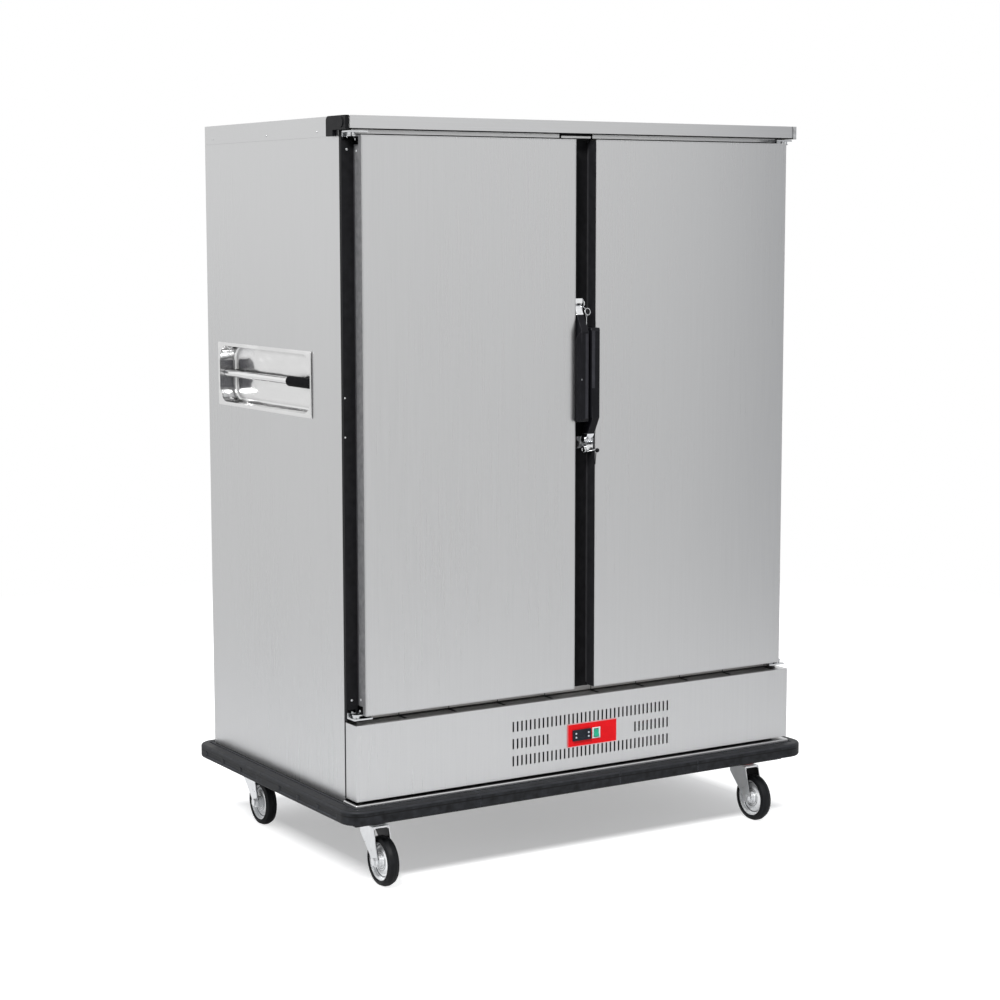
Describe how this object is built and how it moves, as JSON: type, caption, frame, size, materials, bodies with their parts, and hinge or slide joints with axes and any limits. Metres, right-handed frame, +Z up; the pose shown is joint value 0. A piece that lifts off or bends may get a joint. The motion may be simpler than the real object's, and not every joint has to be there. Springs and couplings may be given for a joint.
{
  "type": "cold banquet cart",
  "caption": "Tall insulated stainless banquet cart on swivel casters, with hinged doors, lever latches, recessed push bars, a cooling unit below and a rubber bumper all round.",
  "frame": {"origin": "on the floor under the middle of the cart's overall size", "axes": "+X to the cart's right seen from the front, doors facing -Y, +Z up"},
  "size_m": [1.4, 0.888, 1.86],
  "materials": {
    "stainless": "fine brushed stainless steel",
    "polished_steel": "polished stainless steel",
    "zinc": "bright zinc-plated steel",
    "chrome": "chrome plate",
    "black_plastic": "satin black plastic",
    "frame_black": "matt black insulating profile",
    "bumper_rubber": "dark grey bumper rubber",
    "gasket_rubber": "soft black seal",
    "tyre_rubber": "grey non-marking tyre",
    "foam": "pale rigid foam",
    "red_plate": "smooth red plate",
    "controller_case": "dark smooth case",
    "key_plastic": "pale key",
    "switch_case": "pale grey bezel",
    "rocker_green": "green rocker",
    "base_paint": "dark grey paint",
    "plant_paint": "black paint",
    "fan_plastic": "dark fan plastic",
    "fin_aluminium": "bare aluminium fins",
    "copper": "bare copper pipe"
  },
  "bodies": {
    "cabinet": {"base_frame": "base_paint", "base_tray": "stainless", "bumper": "bumper_rubber", "caster_plates": "zinc", "side_panel_left": "stainless", "side_panel_right": "stainless", "rear_panel": "stainless", "top_panel": "stainless", "insulation": "foam", "inner_liner": "stainless", "front_frame": "frame_black", "handle_recesses": "polished_steel", "bar_grips": "black_plastic", "corner_guards": "black_plastic", "control_panel": "stainless", "control_plate": "red_plate", "controller": "controller_case", "rocker_housing": "switch_case", "hinge_brackets": "zinc", "latch_keepers": "zinc", "centre_duct": "stainless", "tray_runners": "stainless", "finned_coils": "fin_aluminium", "condenser_fan_shroud": "plant_paint", "evaporator_fan_mount": "plant_paint", "compressor": "plant_paint", "refrigerant_pipes": "copper"},
    "door_left": {"door_skin_left": "stainless", "door_liner_left": "black_plastic", "door_gasket_left": "gasket_rubber", "hinge_arms_left": "zinc", "latch_bracket_left": "chrome"},
    "lever_left": {"latch_lever_left": "black_plastic"},
    "pin_left": {"lock_pin_left": "chrome"},
    "door_right": {"door_skin_right": "stainless", "door_liner_right": "black_plastic", "door_gasket_right": "gasket_rubber", "hinge_arms_right": "zinc", "latch_bracket_right": "chrome"},
    "lever_right": {"latch_lever_right": "black_plastic"},
    "pin_right": {"lock_pin_right": "chrome"},
    "fork_front_left": {"caster_fork_front_left": "zinc"},
    "wheel_front_left": {"caster_wheel_front_left": "zinc", "caster_tyre_front_left": "tyre_rubber"},
    "fork_front_right": {"caster_fork_front_right": "zinc"},
    "wheel_front_right": {"caster_wheel_front_right": "zinc", "caster_tyre_front_right": "tyre_rubber"},
    "fork_rear_left": {"caster_fork_rear_left": "zinc"},
    "wheel_rear_left": {"caster_wheel_rear_left": "zinc", "caster_tyre_rear_left": "tyre_rubber"},
    "fork_rear_right": {"caster_fork_rear_right": "zinc"},
    "wheel_rear_right": {"caster_wheel_rear_right": "zinc", "caster_tyre_rear_right": "tyre_rubber"},
    "rocker": {"rocker": "rocker_green"},
    "key_left_top": {"key_left_top": "key_plastic"},
    "key_left_bottom": {"key_left_bottom": "key_plastic"},
    "key_right_top": {"key_right_top": "key_plastic"},
    "key_right_bottom": {"key_right_bottom": "key_plastic"},
    "condenser_fan": {"condenser_fan": "fan_plastic"},
    "evaporator_fan": {"evaporator_fan": "fan_plastic"}
  },
  "joints": [
    {"name": "door_left_hinge", "type": "hinge", "parent": "cabinet", "child": "door_left", "pos_m": [-0.645, -0.379, 1.124], "axis": [0, 0, -1], "range_deg": [0, 165]},
    {"name": "lever_left_pivot", "type": "hinge", "parent": "door_left", "child": "lever_left", "pos_m": [-0.0167, -0.387, 1.398], "axis": [-1, 0, 0], "range_deg": [-8, 70]},
    {"name": "pin_left_pull", "type": "slide", "parent": "door_left", "child": "pin_left", "axis": [1, 0, 0], "range_m": [0, 0.012]},
    {"name": "door_right_hinge", "type": "hinge", "parent": "cabinet", "child": "door_right", "pos_m": [0.645, -0.379, 1.124], "axis": [0, 0, 1], "range_deg": [0, 165]},
    {"name": "lever_right_pivot", "type": "hinge", "parent": "door_right", "child": "lever_right", "pos_m": [0.0167, -0.387, 1.068], "axis": [1, 0, 0], "range_deg": [-8, 70]},
    {"name": "pin_right_pull", "type": "slide", "parent": "door_right", "child": "pin_right", "axis": [-1, 0, 0], "range_m": [0, 0.012]},
    {"name": "swivel_front_left", "type": "hinge", "parent": "cabinet", "child": "fork_front_left", "pos_m": [-0.574, -0.33, 0.15], "axis": [0, 0, 1], "continuous": true},
    {"name": "axle_front_left", "type": "hinge", "parent": "fork_front_left", "child": "wheel_front_left", "pos_m": [-0.574, -0.378, 0.0625], "axis": [1, 0, 0], "continuous": true},
    {"name": "swivel_front_right", "type": "hinge", "parent": "cabinet", "child": "fork_front_right", "pos_m": [0.574, -0.33, 0.15], "axis": [0, 0, 1], "continuous": true},
    {"name": "axle_front_right", "type": "hinge", "parent": "fork_front_right", "child": "wheel_front_right", "pos_m": [0.574, -0.378, 0.0625], "axis": [1, 0, 0], "continuous": true},
    {"name": "swivel_rear_left", "type": "hinge", "parent": "cabinet", "child": "fork_rear_left", "pos_m": [-0.574, 0.338, 0.15], "axis": [0, 0, 1], "continuous": true},
    {"name": "axle_rear_left", "type": "hinge", "parent": "fork_rear_left", "child": "wheel_rear_left", "pos_m": [-0.574, 0.29, 0.0625], "axis": [1, 0, 0], "continuous": true},
    {"name": "swivel_rear_right", "type": "hinge", "parent": "cabinet", "child": "fork_rear_right", "pos_m": [0.574, 0.338, 0.15], "axis": [0, 0, 1], "continuous": true},
    {"name": "axle_rear_right", "type": "hinge", "parent": "fork_rear_right", "child": "wheel_rear_right", "pos_m": [0.574, 0.29, 0.0625], "axis": [1, 0, 0], "continuous": true},
    {"name": "rocker_tilt", "type": "hinge", "parent": "cabinet", "child": "rocker", "pos_m": [0.0345, -0.4065, 0.3135], "axis": [1, 0, 0], "range_deg": [0, 16]},
    {"name": "key_left_top_press", "type": "slide", "parent": "cabinet", "child": "key_left_top", "axis": [0, 1, 0], "range_m": [0, 0.0008], "stiffness_N_per_m": 500, "springref_m": -0.0005},
    {"name": "key_left_bottom_press", "type": "slide", "parent": "cabinet", "child": "key_left_bottom", "axis": [0, 1, 0], "range_m": [0, 0.0008], "stiffness_N_per_m": 500, "springref_m": -0.0005},
    {"name": "key_right_top_press", "type": "slide", "parent": "cabinet", "child": "key_right_top", "axis": [0, 1, 0], "range_m": [0, 0.0008], "stiffness_N_per_m": 500, "springref_m": -0.0005},
    {"name": "key_right_bottom_press", "type": "slide", "parent": "cabinet", "child": "key_right_bottom", "axis": [0, 1, 0], "range_m": [0, 0.0008], "stiffness_N_per_m": 500, "springref_m": -0.0005},
    {"name": "condenser_fan_spin", "type": "hinge", "parent": "cabinet", "child": "condenser_fan", "pos_m": [0.023, -0.256, 0.299], "axis": [0, 1, 0], "continuous": true},
    {"name": "evaporator_fan_spin", "type": "hinge", "parent": "cabinet", "child": "evaporator_fan", "pos_m": [0, 0.004, 0.873], "axis": [0, 0, 1], "continuous": true}
  ]
}
